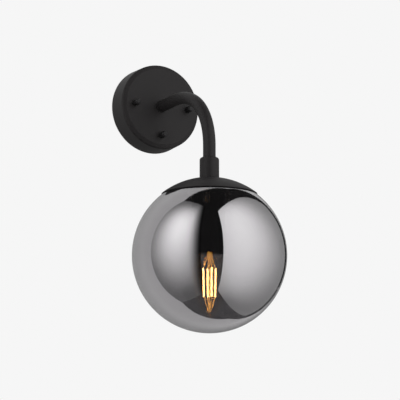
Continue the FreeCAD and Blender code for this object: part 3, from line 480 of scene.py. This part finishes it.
# %% Beads along a rod
CHIPS, CHIP_STEP, ROD_RADIUS, BEAD_RADIUS = 28, 0.95, 0.80, 0.90
ROD_STEPS, BEAD_STEPS, BEAD_RINGS = 16, 12, 6

bead_tree, sizes_in = node_tree("phosphor beads", {"Beads": CHIPS, "Step": CHIP_STEP * MM, "Start": 1.0 * MM,
                                                   "Bead radius": BEAD_RADIUS * MM})
step = add(bead_tree, "ShaderNodeCombineXYZ", Z=sizes_in.outputs["Step"])
start = add(bead_tree, "ShaderNodeCombineXYZ", Z=sizes_in.outputs["Start"])
line = add(bead_tree, "GeometryNodeMeshLine", Count=sizes_in.outputs["Beads"],
           Start_Location=start.outputs[0], Offset=step.outputs[0])
bead = add(bead_tree, "GeometryNodeMeshUVSphere", Segments=BEAD_STEPS, Rings=BEAD_RINGS,
           Radius=sizes_in.outputs["Bead radius"])
row = add(bead_tree, "GeometryNodeInstanceOnPoints", Points=line.outputs[0], Instance=bead.outputs[0])
close(bead_tree, [sizes_in.outputs["Geometry"], row.outputs[0]], finishes["filament"])

print("beads on a rod:", CHIPS)

# %% Four rods round the axis
RODS, FIRST_ANGLE = 4, -11.5
FOOT, HEAD = (5.8, -40.2), (6.3, -12.8)         # distance from the axis, and height from the globe's centre


def rod_end(k, end):
    """Where rod k begins or ends, in millimetres."""
    turn = math.radians(FIRST_ANGLE + k * 360 / RODS)
    radius, height = end
    return Vector((AXIS_MM[0] + radius * math.cos(turn), AXIS_MM[1] + radius * math.sin(turn),
                   GLOBE_HEIGHT_MM + height))


def rod_spot(k):
    """The matrix that stands a rod made along Z on its foot, leaning to its head."""
    lean = rod_end(k, HEAD) - rod_end(k, FOOT)
    return at(*rod_end(k, FOOT)) @ lean.to_track_quat("Z", "Y").to_matrix().to_4x4()


length = (rod_end(0, HEAD) - rod_end(0, FOOT)).length
rod = grown(core("filament_rods", ROD_RADIUS, 0.0, length, ROD_STEPS), bead_tree,
            {"Start": (length - (CHIPS - 1) * CHIP_STEP) / 2 * MM})
filaments = placed("filament_rods", rod, [rod_spot(k) for k in range(RODS)], "bulb", "filament",
                   "bulb_filaments")
print("filaments:", len(filaments.data.polygons), "faces,", round(length, 2), "mm long")

# %% [markdown]
# ## The studio
#
# The photograph is a catalogue shot on white. The globe is a curved mirror, so it shows what stands round
# it: a white board behind the light, a dark room, and two tall soft boxes left and right of the camera. They
# are built as real surfaces, because a mirror needs something to show. A camera ray meets only the white
# world behind them.

# %% Camera
CAMERA_MM = (-534.59, -1061.26, -300.05)
YAW, PITCH = math.radians(29.30), math.radians(9.66)
FOCAL_PIXELS, FRAME_PIXELS, SENSOR_MM = 1119.16, 400, 36.0

camera = bpy.data.objects.new("camera", bpy.data.cameras.new("camera"))
bpy.context.scene.collection.objects.link(camera)
look = Vector((math.sin(YAW) * math.cos(PITCH), math.cos(YAW) * math.cos(PITCH), math.sin(PITCH)))
camera.location = Vector(CAMERA_MM) * MM
camera.rotation_mode = "QUATERNION"
camera.rotation_quaternion = look.to_track_quat("-Z", "Y")
camera.data.sensor_width = SENSOR_MM
camera.data.lens = FOCAL_PIXELS * SENSOR_MM / FRAME_PIXELS
bpy.context.scene.camera = camera
bpy.context.scene.view_settings.view_transform = "Standard"
print("lens", round(camera.data.lens, 1), "mm")

# %% [markdown]
# The world plays three parts. Seen straight, or straight through the glass, it is the white background of
# the photograph. To a mirror it is nearly black, so that only the board and the boxes show in the globe, and
# to a matt surface it is a dim fill. Light Path tells the rays apart.

# %% World
WHITE = linear("F6F6F6")
ROOM_DARK = 0.02
ROOM_FILL = 0.15

world = bpy.data.worlds.new("studio")
bpy.context.scene.world = world
world.use_nodes = True
tree = world.node_tree
tree.nodes.clear()
path = add(tree, "ShaderNodeLightPath")
bounced = add(tree, "ShaderNodeMath", {"operation": "ADD"}, i0=path.outputs["Glossy Depth"],
              i1=path.outputs["Diffuse Depth"])
straight = add(tree, "ShaderNodeMath", {"operation": "LESS_THAN"}, i0=bounced.outputs[0], i1=0.5)
seen = add(tree, "ShaderNodeMath", {"operation": "MULTIPLY_ADD"}, i0=path.outputs["Is Transmission Ray"],
           i1=straight.outputs[0], i2=path.outputs["Is Camera Ray"])
level = add(tree, "ShaderNodeMapRange", Value=path.outputs["Is Diffuse Ray"], To_Min=ROOM_DARK,
            To_Max=ROOM_FILL)
tone = add(tree, "ShaderNodeMix", {"data_type": "RGBA"}, Factor=seen.outputs[0],
           i6=(1.0, 1.0, 1.0, 1.0), i7=WHITE)
power = add(tree, "ShaderNodeMix", {"data_type": "FLOAT"}, Factor=seen.outputs[0],
            i2=level.outputs["Result"], i3=1.0)
backlight = add(tree, "ShaderNodeBackground", Color=tone.outputs[2], Strength=power.outputs[0])
add(tree, "ShaderNodeOutputWorld", Surface=backlight.outputs["Background"])
print("world: white to the eye, dim to the metal")

# %% [markdown]
# The board and the boxes are single faces of pure light. Only what they light or are mirrored in shows them,
# because camera rays pass through.

# %% Faces of light
def glowing(name, tree_of):
    """A material of pure light, whose strength comes from tree_of(tree)."""
    made, tree = material(name)
    light = add(tree, "ShaderNodeEmission", Color=(1.0, 1.0, 1.0, 1.0), Strength=tree_of(tree))
    add(tree, "ShaderNodeOutputMaterial", Surface=light.outputs["Emission"])
    return made


def panel(name, corners, skin):
    """A stage face from two rows of two corners in millimetres, hidden from camera rays."""
    mesh = bpy.data.meshes.new(name)
    mesh.from_pydata([Vector(corner) * MM for row in corners for corner in row], [], [(0, 1, 3, 2)])
    made = bpy.data.objects.new(name, mesh)
    bpy.context.scene.collection.objects.link(made)
    mesh.materials.append(skin)
    made.visible_camera = False
    return made


print("panel helper ready")

# %% [markdown]
# The board hangs just behind the wall plane. It has a soft dark place beside the globe, as if the globe stood
# in front of its lamps, and the smoke glass shows that as a rim that darkens inwards.

# %% White board
BOARD_X, BOARD_Y, BOARD_LOW, BOARD_HIGH = (-286.0, 276.0), 3.0, -723.0, 500.0
SHADOW_MM, SHADOW_CORE, SHADOW_EDGE, SHADOW_DEPTH = (112.0, BOARD_Y, -160.0), 100.0, 290.0, 0.3


def board_light(tree):
    """White, with a soft dark place round SHADOW_MM."""
    place = add(tree, "ShaderNodeTexCoord")
    away = add(tree, "ShaderNodeVectorMath", {"operation": "DISTANCE"}, i0=place.outputs["Object"],
               i1=Vector(SHADOW_MM) * MM)
    return add(tree, "ShaderNodeMapRange", {"interpolation_type": "SMOOTHSTEP"}, Value=away.outputs["Value"],
               From_Min=SHADOW_CORE * MM, From_Max=SHADOW_EDGE * MM, To_Min=WHITE[0] * SHADOW_DEPTH,
               To_Max=WHITE[0]).outputs["Result"]


board = panel("white_board", [[(x, BOARD_Y, z) for x in BOARD_X] for z in (BOARD_LOW, BOARD_HIGH)],
              glowing("white board", board_light))
print("stage:", board.name)

# %% [markdown]
# A soft box is brightest in one place and falls off to its edges, and that fall-off is what the globe shows
# as a soft bright patch. Its place is easiest to give as the globe sees it: a heading, and a slope up or
# down. Headings are degrees from +Y towards +X, and a slope is height over level distance.

# %% Soft box
def across(heading):
    """Level unit vectors towards a heading (from +Y towards +X), and along a wall that faces it."""
    turn = math.radians(heading)
    return Vector((math.sin(turn), math.cos(turn), 0)), Vector((math.cos(turn), -math.sin(turn), 0))


def soft_box(name, facing, distance, first, last, rise, bright, spread, height, fall, peak, edge, fade):
    """A flat soft box, distance away on the heading facing, from the heading first to last. rise gives its
    low and its high corners as shares of the distance. It is as strong as peak at the heading bright and the
    slope height, and fades to edge over spread degrees and the slope fall. fade softens its first side."""
    out, along = across(facing)
    centre = Vector((*AXIS_MM, 0)) + out * distance
    ends = [centre + along * distance * math.tan(math.radians(h - facing)) for h in (first, last)]
    rows = [[(p.x, p.y, GLOBE_HEIGHT_MM + z * distance) for p, z in zip(ends, row)] for row in rise]

    def strength(tree):
        place = add(tree, "ShaderNodeTexCoord")
        local = add(tree, "ShaderNodeVectorMath", {"operation": "SUBTRACT"}, i0=place.outputs["Object"],
                    i1=Vector((*AXIS_MM, GLOBE_HEIGHT_MM)) * MM)
        side = add(tree, "ShaderNodeVectorMath", {"operation": "DOT_PRODUCT"}, i0=local.outputs[0], i1=along)
        turn = add(tree, "ShaderNodeMath", {"operation": "ARCTAN2"}, i0=side.outputs["Value"],
                   i1=distance * MM)
        level = add(tree, "ShaderNodeVectorMath", {"operation": "MULTIPLY"}, i0=local.outputs[0],
                    i1=(1, 1, 0))
        reach = add(tree, "ShaderNodeVectorMath", {"operation": "LENGTH"}, i0=level.outputs[0])
        split = add(tree, "ShaderNodeSeparateXYZ", Vector=local.outputs[0])
        slope = add(tree, "ShaderNodeMath", {"operation": "DIVIDE"}, i0=split.outputs["Z"],
                    i1=reach.outputs["Value"])
        wide = add(tree, "ShaderNodeMapRange", {"clamp": False}, Value=turn.outputs[0],
                   From_Min=math.radians(bright - facing), From_Max=math.radians(bright - facing + spread))
        tall = add(tree, "ShaderNodeMapRange", {"clamp": False}, Value=slope.outputs[0], From_Min=height,
                   From_Max=height + fall)
        wide_squared = add(tree, "ShaderNodeMath", {"operation": "MULTIPLY"}, i0=wide.outputs[0],
                           i1=wide.outputs[0])
        far = add(tree, "ShaderNodeMath", {"operation": "MULTIPLY_ADD"}, i0=tall.outputs[0],
                  i1=tall.outputs[0], i2=wide_squared.outputs[0])
        patch = add(tree, "ShaderNodeMath", {"operation": "POWER"}, i0=math.exp(-1), i1=far.outputs[0])
        even = add(tree, "ShaderNodeMath", {"operation": "MULTIPLY_ADD"}, i0=patch.outputs[0], i1=peak - edge,
                   i2=edge)
        soft = add(tree, "ShaderNodeMapRange", {"interpolation_type": "SMOOTHSTEP"}, Value=turn.outputs[0],
                   From_Min=math.radians(first - facing), From_Max=math.radians(first - facing + fade))
        return add(tree, "ShaderNodeMath", {"operation": "MULTIPLY"}, i0=even.outputs[0],
                   i1=soft.outputs[0]).outputs[0]

    return panel(name, rows, glowing(name.replace("_", " "), strength))


print("soft box helper ready")

# %% Left and right soft box
left_box = soft_box("left_soft_box", facing=-100.0, distance=500.0, first=-138.0, last=-50.0,
                    rise=((-2.16, -2.16), (2.8, 2.8)), bright=-104.0, spread=32.0, height=0.62, fall=1.02,
                    peak=2.75, edge=0.25, fade=19.0)
right_box = soft_box("right_soft_box", facing=140.0, distance=450.0, first=62.8, last=190.8,
                     rise=((-3.7, -2.37), (2.6, 2.5)), bright=163.0, spread=58.0, height=0.71, fall=1.87,
                     peak=2.45, edge=0.35, fade=1.0)
print("soft boxes:", left_box.name, right_box.name)

# %% [markdown]
# The floor is far below, as it is under any wall light, and only the lower views meet it.

# %% Floor
FLOOR_HEIGHT, FLOOR_REACH = -1300.0, 12000.0

made, tree = material("pale studio floor")
path = add(tree, "ShaderNodeLightPath")
pale = add(tree, "ShaderNodeBsdfDiffuse", Color=linear("E8E8E8"))
white = add(tree, "ShaderNodeEmission", Color=WHITE, Strength=1.0)
seen = add(tree, "ShaderNodeMath", {"operation": "MAXIMUM"}, i0=path.outputs["Is Camera Ray"],
           i1=path.outputs["Is Transmission Ray"])
both = add(tree, "ShaderNodeMixShader", i0=seen.outputs[0], i1=pale.outputs["BSDF"],
           i2=white.outputs["Emission"])
add(tree, "ShaderNodeOutputMaterial", Surface=both.outputs["Shader"])
floor = panel("floor", [[(x, y, FLOOR_HEIGHT) for x in (-FLOOR_REACH, FLOOR_REACH)]
                        for y in (-FLOOR_REACH, FLOOR_REACH)], made)
floor.visible_camera = True
floor.visible_glossy = False
print("floor at", FLOOR_HEIGHT, "mm")
